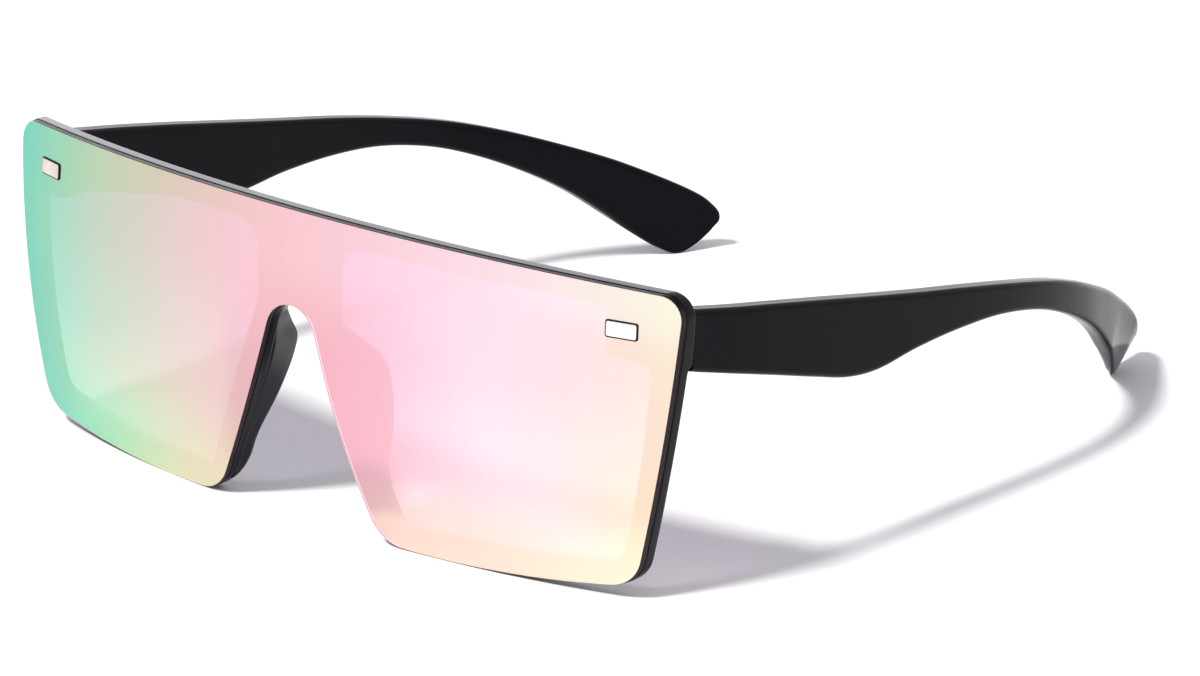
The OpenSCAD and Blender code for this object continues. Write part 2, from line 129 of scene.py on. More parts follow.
HALF_W = LENS_W / 2
CORNER_Z = LENS_H - TOP_BOW
LENS_CORNERS = [
    (FOOT_W / 2, FOOT_RISE, FOOT_CORNER_R), (HALF_W, CORNER_Z, TOP_CORNER_R),
    (-HALF_W, CORNER_Z, TOP_CORNER_R), (-FOOT_W / 2, FOOT_RISE, FOOT_CORNER_R),
    (-NOTCH_W / 2, 0, NOSE_CORNER_R), (0, NOTCH_PEAK_Z, -NOTCH_R), (NOTCH_W / 2, 0, NOSE_CORNER_R),
]
LENS_BOWS = [SIDE_BOW, TOP_BOW, SIDE_BOW, FOOT_BOW, NOTCH_BOW, NOTCH_BOW, FOOT_BOW]
foot_arc = side(vec(NOTCH_W / 2, 0), vec(FOOT_W / 2, FOOT_RISE), FOOT_BOW)
LIFT = foot_arc[1] + REVEAL - foot_arc[0][1]
TEMPLE_X = HALF_W - TEMPLE_IN
TEMPLE_Z = LIFT + CORNER_Z - TEMPLE_DROP
FRONT_R = LENS_R - LENS_T - GLUE_T
BALL_Z = LIFT + LENS_MID_Z


def ball_y(r, x, z):
    return LENS_R - np.sqrt(r * r - np.square(x) - np.square(z - BALL_Z))


END_BACK = float(ball_y(LENS_R, HALF_W, BALL_Z)) + END_DEEP
PLAQUE_X = HALF_W - PLAQUE_IN
PLAQUE_Z = LIFT + LENS_H - PLAQUE_DOWN

notch_arc = side(vec(0, NOTCH_PEAK_Z), vec(NOTCH_W / 2, 0), NOTCH_BOW)
notch_round = meet(notch_arc[0], notch_arc[1] + NOTCH_R, vec(-notch_arc[0][0], notch_arc[0][1]),
                   notch_arc[1] + NOTCH_R, vec(0, NOTCH_PEAK_Z))
NOTCH_TOP = notch_round[1] + NOTCH_R

# The eye opening where x is positive. Its lower and outer sides follow the lens edge, and its upper
# outer corner leaves the end piece solid.
EYE_TOP = CORNER_Z - RIM_TOP + TOP_BOW * 0.9
EYE_END_Z = CORNER_Z - END_H
EYE_END_X = HALF_W - END_W
EYE_BRIDGE_Z = NOTCH_TOP * 0.965
LENS_SLOPE = (HALF_W - FOOT_W / 2) / (CORNER_Z - FOOT_RISE)
NOTCH_SLOPE = NOTCH_W / 2 / NOTCH_PEAK_Z
# Radii of the opening's corners as shares of the lens's own corner radii
EYE_FOOT_R, EYE_NOSE_R = FOOT_CORNER_R * 0.55, NOSE_CORNER_R * 0.35
EYE_TOP_R, EYE_SMALL_R = NOSE_CORNER_R * 0.7, TOP_CORNER_R * 0.3
EYE_CORNERS = [
    (NOTCH_W / 2 + RIM_NOSE - RIM_FOOT * NOTCH_SLOPE, RIM_FOOT, EYE_NOSE_R),
    (FOOT_W / 2 - RIM_SIDE + RIM_FOOT * LENS_SLOPE + SIDE_BOW / 2, RIM_FOOT + FOOT_RISE, EYE_FOOT_R),
    (HALF_W - RIM_SIDE - END_H * LENS_SLOPE + SIDE_BOW * 0.2, EYE_END_Z, EYE_SMALL_R * 2),
    (EYE_END_X, EYE_END_Z + EYE_SMALL_R / 2, -EYE_SMALL_R),
    (EYE_END_X - EYE_SMALL_R / 2, EYE_TOP - TOP_BOW * 0.4, EYE_SMALL_R),
    (BRIDGE_W / 2, EYE_TOP, EYE_TOP_R),
    (BRIDGE_W / 2, EYE_BRIDGE_Z, NOSE_CORNER_R),
]
# Bow of a side that is as good as straight
STRAIGHT = 0.05
EYE_BOWS = [FOOT_BOW / 2, SIDE_BOW * 0.6, STRAIGHT, STRAIGHT, STRAIGHT, STRAIGHT, STRAIGHT]


# Meshes

# Points nearer to each other than this, in metres, become one
MERGE = 1e-7
# Keeps a divisor away from zero
TINY = 1e-12
# Height of a row of even triangles as a share of their side
ROW = 0.87
# The corners of a section, counter-clockwise from the one where both axes are positive
QUARTERS = ((1, 1), (-1, 1), (-1, -1), (1, -1))


class Sheet:
    """Points in millimetres and faces, gathered into one mesh."""

    def __init__(self):
        self.points, self.faces, self.slots = [], [], []

    def add(self, pts):
        first = len(self.points)
        self.points += [tuple(p) for p in pts]
        return list(range(first, len(self.points)))

    def face(self, ids, slot=0):
        self.faces.append(tuple(ids))
        self.slots.append(slot)

    def strip(self, a, b, slot=0):
        """Faces between two rings, with one slot for all of them or a list of slots."""
        for k in range(len(a)):
            q = (k + 1) % len(a)
            self.face((a[k], a[q], b[q], b[k]), slot[k] if isinstance(slot, list) else slot)

    def loft(self, rings, slot=0):
        """A closed solid through the rings, with one face over each end."""
        ids = [self.add(r) for r in rings]
        for a, b in zip(ids, ids[1:]):
            self.strip(a, b, slot)
        self.face(ids[0][::-1], slot)
        self.face(ids[-1], slot)

    def make(self, name, materials):
        """The object of this mesh, with the origin at the middle of the depth."""
        mesh = bpy.data.meshes.new(name)
        move = vec(0, -DEPTH / 2, 0)
        mesh.from_pydata([tuple((np.array(p) + move) * MM) for p in self.points], [], self.faces)
        for m in materials:
            mesh.materials.append(m)
        for poly, slot in zip(mesh.polygons, self.slots):
            poly.material_index = slot
            poly.use_smooth = True
        bm = bmesh.new()
        bm.from_mesh(mesh)
        bmesh.ops.remove_doubles(bm, verts=bm.verts, dist=MERGE)
        bmesh.ops.recalc_face_normals(bm, faces=bm.faces)
        bm.to_mesh(mesh)
        bm.free()
        made = in_scene(name, mesh)
        even_out(made)
        return made


def in_scene(name, data):
    made = bpy.data.objects.new(name, data)
    bpy.context.scene.collection.objects.link(made)
    return made


def even_out(made):
    """Shades the small faces of the edges like the large faces beside them."""
    tidy = made.modifiers.new("even_normals", "WEIGHTED_NORMAL")
    tidy.mode = "FACE_AREA"
    tidy.weight = 50
    tidy.keep_sharp = True


def inside(pts, loop):
    """Says of each point whether it lies inside the closed loop."""
    x, z = pts[:, 0][:, None], pts[:, 1][:, None]
    a, b = loop, np.roll(loop, -1, axis=0)
    crosses = (a[:, 1] > z) != (b[:, 1] > z)
    rise = np.where(np.abs(b[:, 1] - a[:, 1]) < TINY, TINY, b[:, 1] - a[:, 1])
    at = a[:, 0] + (z - a[:, 1]) * (b[:, 0] - a[:, 0]) / rise
    return (np.sum(crosses & (x < at), axis=1) % 2) == 1


def distance(pts, loop):
    """The distance of each point from the closed loop."""
    a, b = loop, np.roll(loop, -1, axis=0)
    ab = b - a
    best = np.full(len(pts), np.inf)
    for k in range(len(loop)):
        t = np.clip(((pts - a[k]) @ ab[k]) / max(ab[k] @ ab[k], TINY), 0, 1)
        best = np.minimum(best, np.linalg.norm(pts - (a[k] + t[:, None] * ab[k]), axis=1))
    return best


def fill(sheet, outer, outer_ids, holes, extra, height, slot=0, clear=0.6):
    """Fills the plane region between the outer loop and the holes with triangles at the given height.
    Of the extra points, those in the region and further than clear from its loops are used."""
    snap = 1e-7
    loops = [outer] + [h[0] for h in holes]
    keep = inside(extra, outer)
    for h in loops[1:]:
        keep &= ~inside(extra, h)
    extra = extra[keep]
    for loop in loops:
        extra = extra[distance(extra, loop) > clear]
    pts = np.concatenate(loops + [extra])
    edges, first = [], 0
    for loop in loops:
        edges += [(first + k, first + (k + 1) % len(loop)) for k in range(len(loop))]
        first += len(loop)
    ids = list(outer_ids)
    for h in holes:
        ids += list(h[1])
    ids += sheet.add([(p[0], height(p[0], p[1] + LIFT), p[1] + LIFT) for p in extra])
    out = delaunay_2d_cdt([Vector(p) for p in pts], edges, [], 0, snap)
    places, origins, triangles = np.array([tuple(v) for v in out[0]]), out[3], out[2]
    centres = np.array([places[list(t)].mean(0) for t in triangles])
    good = inside(centres, outer)
    for h in loops[1:]:
        good &= ~inside(centres, h)
    for t, g in zip(triangles, good):
        if g and all(origins[k] for k in t):
            sheet.face([ids[origins[k][0]] for k in t], slot)


def grid(step):
    """Points of a grid of triangles over the lens and a little past its top and foot."""
    past = 2
    rows = []
    for j, z in enumerate(np.arange(-past, LENS_H + past, step * ROW)):
        rows += [(x + (step / 2 if j % 2 else 0), z) for x in np.arange(-HALF_W, HALF_W, step)]
    return np.array(rows)


def ring_on(loop, height):
    return [(p[0], height(p[0], p[1] + LIFT), p[1] + LIFT) for p in loop]


def mirrored(loop):
    """The loop on the other side of the middle, in the order that keeps it counter-clockwise."""
    return (loop * vec(-1, 1))[::-1]


# Materials

# The parts of a noise's range that are spread over the whole of what it drives
MIDDLE, MOST, WIDE = (0.35, 0.65), (0.3, 0.7), (0.25, 0.75)


def shader(name):
    made = bpy.data.materials.new(name)
    made.use_nodes = True
    return made, made.node_tree.nodes, made.node_tree.links, made.node_tree.nodes["Principled BSDF"]


def linear(r, g, b):
    def one(v):
        v /= 255
        return v / 12.92 if v <= 0.04045 else ((v + 0.055) / 1.055) ** 2.4
    return (one(r), one(g), one(b), 1.0)


def place_node(nodes):
    """The place on the piece, in metres."""
    return nodes.new("ShaderNodeTexCoord").outputs["Object"]


def axes(nodes, links, vector):
    """The X, Y and Z of a vector."""
    split = nodes.new("ShaderNodeSeparateXYZ")
    links.new(vector, split.inputs[0])
    return split.outputs


def facing(nodes, links):
    """The X, Y and Z of the direction in which the surface faces."""
    return axes(nodes, links, nodes.new("ShaderNodeNewGeometry").outputs["Normal"])


def noise(nodes, links, where, scale, detail=3.0, rough=0.5, stretch=None):
    if stretch:
        mapping = nodes.new("ShaderNodeMapping")
        mapping.inputs["Scale"].default_value = stretch
        links.new(where, mapping.inputs["Vector"])
        where = mapping.outputs["Vector"]
    made = nodes.new("ShaderNodeTexNoise")
    made.inputs["Scale"].default_value = scale
    made.inputs["Detail"].default_value = detail
    made.inputs["Roughness"].default_value = rough
    links.new(where, made.inputs["Vector"])
    return made.outputs["Fac"]


def ranged(nodes, links, value, low, high, from_low=0.0, from_high=1.0):
    """low where value is from_low and high where it is from_high, straight in between."""
    made = nodes.new("ShaderNodeMapRange")
    made.inputs["From Min"].default_value = from_low
    made.inputs["From Max"].default_value = from_high
    made.inputs["To Min"].default_value = low
    made.inputs["To Max"].default_value = high
    links.new(value, made.inputs["Value"])
    return made.outputs["Result"]


def blended(nodes, links, factor, a, b, kind="MIX"):
    made = nodes.new("ShaderNodeMix")
    made.data_type = "RGBA"
    made.blend_type = kind
    links.new(factor, made.inputs["Factor"])
    for value, socket in ((a, made.inputs["A"]), (b, made.inputs["B"])):
        if isinstance(value, tuple):
            socket.default_value = value
        else:
            links.new(value, socket)
    return made.outputs["Result"]


def sums(nodes, links, kind, a, b):
    made = nodes.new("ShaderNodeMath")
    made.operation = kind
    for value, socket in ((a, made.inputs[0]), (b, made.inputs[1])):
        if isinstance(value, (int, float)):
            socket.default_value = value
        else:
            links.new(value, socket)
    return made.outputs[0]


def bumped(nodes, links, shade, height, strength, distance_m):
    """Relief in the shading of the surface: height says where, and distance_m how much, in metres."""
    made = nodes.new("ShaderNodeBump")
    made.inputs["Strength"].default_value = strength
    made.inputs["Distance"].default_value = distance_m
    links.new(height, made.inputs["Height"])
    links.new(made.outputs["Normal"], shade.inputs["Normal"])


def eased(nodes, links, value, at_zero, at_one):
    """0 up to at_zero and 1 from at_one on, smooth in between."""
    made = nodes.new("ShaderNodeMapRange")
    made.interpolation_type = "SMOOTHSTEP"
    made.inputs["From Min"].default_value = at_zero
    made.inputs["From Max"].default_value = at_one
    links.new(value, made.inputs["Value"])
    return made.outputs["Result"]


def see_through(nodes, links, shade, cover, tint):
    """Mixes the shader with a tinted clear one, so that the share cover of it is left."""
    clear = nodes.new("ShaderNodeBsdfTransparent")
    links.new(tint, clear.inputs["Color"])
    mix = nodes.new("ShaderNodeMixShader")
    mix.inputs["Fac"].default_value = cover
    links.new(clear.outputs[0], mix.inputs[1])
    links.new(shade.outputs[0], mix.inputs[2])
    links.new(mix.outputs[0], nodes["Material Output"].inputs["Surface"])


def black_plastic(name, dark, light, gloss, shine):
    """Polished black moulding: fine mottling, faint flow lines and hairline scratches in the gloss, which
    is its range of roughness."""
    made, nodes, links, shade = shader(name)
    where = place_node(nodes)
    cloud = noise(nodes, links, where, 90, 4)
    flow = noise(nodes, links, where, 60, 2, 0.5, (1.0, 0.16, 1.0))
    links.new(blended(nodes, links, ranged(nodes, links, cloud, 0, 1, *MIDDLE), dark, light),
              shade.inputs["Base Color"])
    hair = noise(nodes, links, where, 900, 2, 0.6, (1.0, 0.05, 0.35))
    rough = sums(nodes, links, "ADD", ranged(nodes, links, flow, *gloss, *MOST),
                 ranged(nodes, links, hair, 0.0, 0.05, 0.62, 0.75))
    links.new(rough, shade.inputs["Roughness"])
    peel = noise(nodes, links, where, 1600, 2)
    bumped(nodes, links, shade, peel, 0.06, 0.00002)
    shade.inputs["IOR"].default_value = 1.5
    shade.inputs["Specular IOR Level"].default_value = shine
    return made


# Distance from the middle of the lens at which the ramps of tints end, in millimetres
TINT_END = 75


def ramp_at(nodes, links, value, stops):
    """A smooth ramp of colours, with stops at millimetres from the middle of the lens."""
    made = nodes.new("ShaderNodeValToRGB")
    made.color_ramp.interpolation = "B_SPLINE"
    stops = sorted(stops)
    places = [(x + TINT_END) / (2 * TINT_END) for x, _ in stops]
    elements = made.color_ramp.elements
    elements[0].position, elements[0].color = places[0], linear(*stops[0][1])
    elements[1].position, elements[1].color = places[-1], linear(*stops[-1][1])
    for place, (_, colour) in list(zip(places, stops))[1:-1]:
        elements.new(place).color = linear(*colour)
    links.new(value, made.inputs["Fac"])
    return made.outputs["Color"]


# Tints of the mirror coat along the width, near the top and near the foot of the lens
MINT, LEAF, SAGE, SAND = (108, 212, 192), (146, 218, 184), (186, 214, 175), (224, 205, 188)
PINK, BLUSH, PEARL, IVORY = (252, 200, 204), (254, 212, 222), (255, 234, 238), (255, 251, 228)
AQUA, LIME, STRAW, HONEY = (116, 214, 197), (162, 226, 186), (220, 219, 188), (237, 215, 193)
PEACH, MELON, CREAM = (250, 217, 206), (253, 225, 208), (254, 247, 219)
TOP_TINTS = [(-74, MINT), (-62, LEAF), (-48, SAGE), (-29, SAND),
             (-7, PINK), (20, BLUSH), (50, PEARL), (70, IVORY)]
FOOT_TINTS = [(-74, AQUA), (-50, LIME), (-32, STRAW), (-14, HONEY),
              (16, PEACH), (44, MELON), (68, CREAM)]

# Patches of the coat with another tint; the grey one low beside the notch where x is positive is a painted
# reflection of shade.
# An edge is an axis, with the places in millimetres where the patch begins and where it is full.
PATCHES = {
    "rose": ((0.97, 0.79, 0.84, 1.0), (("Z", 7, 18), ("Z", 46, 30), ("X", -30, 12))),
    "peach": ((1.0, 0.89, 0.87, 1.0), (("Z", 7, 19), ("Z", 50, 41), ("X", 35, 64))),
    # Painted reflection of shade, grey and darker
    "reflected_shade": ((0.80, 0.75, 0.77, 1.0), (("Z", 3, 7), ("Z", 18, 11), ("X", 4, 14), ("X", 27, 19))),
    "cream": ((1.0, 0.99, 0.88, 1.0), (("Z", 4, 10), ("Z", 30, 16), ("X", 55, 66))),
    "dim": ((0.92, 0.90, 0.92, 1.0), (("Z", 3, 7), ("Z", 36, 22), ("X", -20, -14), ("X", -4, -10))),
}
# Share of the rose patch that is left at its far end, and the metres of x over which it sinks to it
ROSE_LEFT, ROSE_SINKS = 0.22, (0.02, 0.04)

# Tints of what is seen through the coat: near its top, below that where x is negative, below that
# where x is positive, and in a low patch
CLEAR_TOP, CLEAR_FOOT = (0.30, 0.12, 0.50, 1.0), (0.55, 0.56, 0.88, 1.0)
CLEAR_NEAR, CLEAR_LOW = (1.0, 0.84, 1.0, 1.0), (1.0, 0.82, 1.0, 1.0)
LOW_PATCH = (("Z", 26, 12), ("X", -12, -36))
# Share of the coat that mirrors, while the rest is see-through
COVER = 0.78


def mirror_coat():
    """The front of the lens: a pale multi-colour mirror that lets a little violet light through."""
    made, nodes, links, shade = shader("mirror_coat")
    where = place_node(nodes)
    place = axes(nodes, links, where)
    drift = ranged(nodes, links, noise(nodes, links, where, 22, 2), -0.003, 0.003, *MOST)
    drifted = {axis: sums(nodes, links, "ADD", place[axis], drift) for axis in ("X", "Z")}

    def along(axis, at_zero, at_one):
        return eased(nodes, links, drifted[axis], at_zero * MM, at_one * MM)

    def patch(edges):
        """1 where a patch is full and 0 outside it."""
        full = along(*edges[0])
        for edge in edges[1:]:
            full = sums(nodes, links, "MULTIPLY", full, along(*edge))
        return full

    share = ranged(nodes, links, drifted["X"], 0, 1, -TINT_END * MM, TINT_END * MM)
    tint = blended(nodes, links, along("Z", 2, 16), ramp_at(nodes, links, share, FOOT_TINTS),
                   ramp_at(nodes, links, share, TOP_TINTS))
    for name, (glow, edges) in PATCHES.items():
        full = patch(edges)
        if name == "rose":
            left = ranged(nodes, links, drifted["X"], 1.0, ROSE_LEFT, *ROSE_SINKS)
            full = sums(nodes, links, "MULTIPLY", full, left)
        tint = blended(nodes, links, full, tint, glow, "MULTIPLY")
    # Faint vertical streaks painted as a reflection of softbox texture, and a fine grain of random tone
    softbox_streak = noise(nodes, links, where, 520, 3, 0.6, (1.0, 1.0, 0.1))
    grain = noise(nodes, links, where, 2600, 1)
    streaks_and_grain = sums(nodes, links, "MULTIPLY", ranged(nodes, links, softbox_streak, 0.985, 1.015, *WIDE),
                ranged(nodes, links, grain, 0.988, 1.012, *WIDE))
    tone = nodes.new("ShaderNodeHueSaturation")
    links.new(tint, tone.inputs["Color"])
    links.new(streaks_and_grain, tone.inputs["Value"])
    links.new(tone.outputs["Color"], shade.inputs["Base Color"])
    shade.inputs["Metallic"].default_value = 0.92
    links.new(ranged(nodes, links, noise(nodes, links, where, 300, 3), 0.10, 0.16, *MOST),
              shade.inputs["Roughness"])
    bumped(nodes, links, shade, noise(nodes, links, where, 60, 2), 0.02, 0.0002)
    clear = blended(nodes, links, along("X", 0, 30), CLEAR_FOOT, CLEAR_NEAR)
    clear = blended(nodes, links, patch(LOW_PATCH), clear, CLEAR_LOW)
    clear = blended(nodes, links, along("Z", 46, 20), CLEAR_TOP, clear)
    see_through(nodes, links, shade, COVER, clear)
    return made


def smoke_back():
    """The back of the lens: a thin rose-smoke tint with a clear gloss, darker towards the top."""
    made, nodes, links, shade = shader("smoke_back")
    where = place_node(nodes)
    height = ranged(nodes, links, axes(nodes, links, where)["Z"], 0, 1, 0.0, 0.052)
    tint = blended(nodes, links, height, linear(196, 178, 186), linear(150, 130, 146))
    cloud = noise(nodes, links, where, 70, 3)
    tint = blended(nodes, links, ranged(nodes, links, cloud, 0, 0.3), tint, linear(172, 150, 170))
    links.new(tint, shade.inputs["Base Color"])
    links.new(ranged(nodes, links, noise(nodes, links, where, 500, 3), 0.05, 0.11, *MOST),
              shade.inputs["Roughness"])
    shade.inputs["Alpha"].default_value = 0.35
    return made


def lens_edge():
    """The polished cut edge of the lens: dark smoke with fine saw lines along it, and painted shade that
    makes it nearly black where it faces up."""
    made, nodes, links, shade = shader("lens_edge")
    lines = noise(nodes, links, place_node(nodes), 1500, 2, 0.6, (0.1, 1.0, 0.1))
    side_on = blended(nodes, links, ranged(nodes, links, lines, 0, 1, *MOST),
                      linear(42, 36, 39), linear(56, 49, 52))
    # Painted shade: nearly black where the edge faces up
    shaded_where_up = eased(nodes, links, facing(nodes, links)["Z"], 0.2, 0.8)
    links.new(blended(nodes, links, shaded_where_up, side_on, linear(10, 7, 9)), shade.inputs["Base Color"])
    links.new(ranged(nodes, links, lines, 0.2, 0.34, *MOST), shade.inputs["Roughness"])
    shade.inputs["Specular IOR Level"].default_value = 0.05
    return made


def lens_bevel(name, dark, light, below=None):
    """A thin polished bevel of the lens front, a little uneven along its length; below, if given, is a pale
    colour painted as a reflection where the bevel faces towards negative x and down."""
    made, nodes, links, shade = shader(name)
    where = place_node(nodes)
    uneven = ranged(nodes, links, noise(nodes, links, where, 120, 3), 0, 1, *MIDDLE)
    tint = blended(nodes, links, uneven, dark, light)
    if below:
        # Painted reflection: the pale colour below where the bevel faces towards negative x and down
        faces = facing(nodes, links)
        lean = sums(nodes, links, "ADD", faces["X"], sums(nodes, links, "MULTIPLY", faces["Z"], 0.5))
        tint = blended(nodes, links, eased(nodes, links, lean, -0.3, 0.05), below, tint)
    links.new(tint, shade.inputs["Base Color"])
    links.new(ranged(nodes, links, noise(nodes, links, where, 900, 2), 0.15, 0.28, *MOST),
              shade.inputs["Roughness"])
    shade.inputs["Specular IOR Level"].default_value = 0.08
    return made


def metal(name, dark, light, gloss, stretch, scale):
    """Metal with fine lines from polishing or turning; gloss is its range of roughness, and stretch and
    scale are those of its lines."""
    made, nodes, links, shade = shader(name)
    where = place_node(nodes)
    lines = noise(nodes, links, where, scale, 3, 0.6, stretch)
    spots = noise(nodes, links, where, scale * 0.3, 3)
    links.new(blended(nodes, links, ranged(nodes, links, spots, 0, 1, *MIDDLE), dark, light),
              shade.inputs["Base Color"])
    links.new(ranged(nodes, links, lines, *gloss, *MOST), shade.inputs["Roughness"])
    bumped(nodes, links, shade, lines, 0.12, 0.00001)
    shade.inputs["Metallic"].default_value = 1.0
    return made


FRONT_BLACK = black_plastic("front_black", (0.0016, 0.0014, 0.0040, 1), (0.0030, 0.0028, 0.0062, 1),
                            gloss=(0.12, 0.2), shine=0.15)
TEMPLE_BLACK = black_plastic("temple_black", (0.0014, 0.0012, 0.0032, 1), (0.0024, 0.0022, 0.0050, 1),
                             gloss=(0.1, 0.17), shine=0.08)
COAT, SMOKE, EDGE = mirror_coat(), smoke_back(), lens_edge()
# The bevel's pale last colour is a painted reflection
BEVEL = lens_bevel("lens_bevel", linear(50, 36, 40), linear(62, 46, 50), linear(250, 236, 208))
# Strips of painted sheen and painted glint along the side of the notch where x is positive
LILAC_SHEEN = lens_bevel("lilac_painted_sheen", linear(190, 138, 158), linear(202, 150, 168))
PALE_GLINT = lens_bevel("pale_painted_glint", linear(224, 188, 196), linear(236, 202, 208))
BRUSHED = {"gloss": (0.12, 0.24), "stretch": (1.0, 1.0, 9.0), "scale": 700}
# The far plaque's face is a darker, beige copy of the same metal: painted shade
PLAQUE_FACES = [metal("plaque_face_near", linear(236, 234, 232), linear(252, 251, 250), **BRUSHED),
                metal("plaque_face_far_shaded", linear(196, 190, 179), linear(220, 214, 203), **BRUSHED)]
# The plaques' dark edge is painted shade: a contact shadow and a dark reflection round the face
PLAQUE_SHADED_EDGE = metal("plaque_edge_painted_shade", linear(26, 16, 14), linear(50, 35, 30),
                    gloss=(0.2, 0.35), stretch=(1.0, 1.0, 4.0), scale=900)
HINGE_STEEL = metal("hinge_steel", linear(150, 150, 152), linear(186, 186, 188),
                    gloss=(0.22, 0.4), stretch=(1.0, 1.0, 8.0), scale=900)
SCREW_STEEL = metal("screw_steel", linear(176, 176, 180), linear(206, 206, 210),
                    gloss=(0.16, 0.3), stretch=(1.0, 6.0, 1.0), scale=1200)


# The lens

# How far in from the edge the front bevel, the lilac line of painted sheen, the pale line of painted glint
# and the back bevel end
CUT, LILAC_END, PALE_END, BACK_CUT = 0.08, 0.32, 0.54, 0.05
# A bevel is rounded by two points, each BEVEL_NEAR of its width from one face and BEVEL_FAR from the
# other
BEVEL_NEAR, BEVEL_FAR = 0.14, 0.45
# Spacing of the points within the faces of the lens and of the moulding
LENS_GRID, FRONT_GRID = 2.2, 2.6


def build_lens():
    sheet = Sheet()
    # The lilac and pale slots hold painted sheen and painted glint
    coat, edge, smoke, bevel, lilac, pale = range(6)

    def front(x, z):
        return ball_y(LENS_R, x, z)

    def back(x, z):
        return ball_y(LENS_R - LENS_T, x, z)

    def loop(grow, height, off):
        pts = outline(LENS_CORNERS, LENS_BOWS, grow)
        return pts, sheet.add(ring_on(pts, lambda x, z: height(x, z) + off))

    def lines(pts, slot):
        """The given slot, a painted sheen or glint, along the side of the notch where x is positive, and the
        coat elsewhere.
        """
        past, short = 1, 0.5
        return [slot if 0 < x < NOTCH_W / 2 + past and z < NOTCH_TOP - short else coat
                for x, z in (pts + np.roll(pts, -1, axis=0)) / 2]

    # How far each ring lies out from the edge, the face it follows and how far behind it, and the slot
    # of the strip from it to the next ring
    steps = [
        (-PALE_END, front, 0.0, pale),
        (-LILAC_END, front, 0.0, lilac),
        (-CUT, front, 0.0, bevel),
        (-CUT * BEVEL_FAR, front, CUT * BEVEL_NEAR, bevel),
        (-CUT * BEVEL_NEAR, front, CUT * BEVEL_FAR, bevel),
        (0.0, front, CUT, edge),
        (0.0, back, -BACK_CUT, edge),
        (-BACK_CUT * BEVEL_NEAR, back, -BACK_CUT * BEVEL_FAR, edge),
        (-BACK_CUT * BEVEL_FAR, back, -BACK_CUT * BEVEL_NEAR, edge),
        (-BACK_CUT, back, 0.0, smoke),
    ]
    loops = [loop(grow, height, off) for grow, height, off, _ in steps]
    for (a, b), (_, _, _, slot) in zip(zip(loops, loops[1:]), steps):
        sheet.strip(a[1], b[1], lines(a[0], slot) if slot in (lilac, pale) else slot)
    inner = grid(LENS_GRID)
    fill(sheet, loops[0][0], loops[0][1], [], inner, front, coat)
    fill(sheet, loops[-1][0], loops[-1][1], [], inner, back, smoke)
    lens = sheet.make("shield_lens_glazed", [COAT, EDGE, SMOKE, BEVEL, LILAC_SHEEN, PALE_GLINT])
    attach(lens, "front")
    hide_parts("shield_lens")


# The front moulding

BLOCK_X = EYE_END_X - EYE_SMALL_R / 2
BLOCK_LOW = LIFT + EYE_END_Z
# Width of the slope from the plate up to the back of an end piece
DRAFT = 0.55
# The broken front edge and the round back edge of the moulding
CRISP, SOFT_R = 0.03, 0.45
# Half height of the belt round the end pieces' lower side where the outline has more points
BELT = 0.45


def soft(d):
    """0 up to DRAFT before zero and 1 from zero on, smooth in between."""
    t = np.clip((np.asarray(d, float) + DRAFT) / DRAFT, 0, 1)
    return t * t * (3 - 2 * t)


def front_back(x, z):
    """Depth of the moulding's back face: the plate, and the end pieces that stand behind it."""
    plate = ball_y(FRONT_R - FRONT_T, x, z)
    share = np.minimum(np.minimum(soft(np.abs(x) - BLOCK_X), soft(z - BLOCK_LOW)), soft(TEMPLE_Z - z))
    return plate + (np.maximum(END_BACK, plate) - plate) * share


def plate_front(x, z):
    return ball_y(FRONT_R, x, z)


def shares_with(n, corners, k, height, spread):
    """Even shares along side k, with more of them where it passes the given height."""
    even = [i / n for i in range(1, n)]
    at = [vec(c[0], c[1]) for c in corners]
    p, q = at[k], at[(k + 1) % len(at)]
    for off in np.linspace(-spread, spread, 13):
        t = (height + off - p[1]) / (q[1] - p[1])
        if 0.01 < t < 0.99:
            even.append(t)
    return sorted(set(round(t, 5) for t in even))


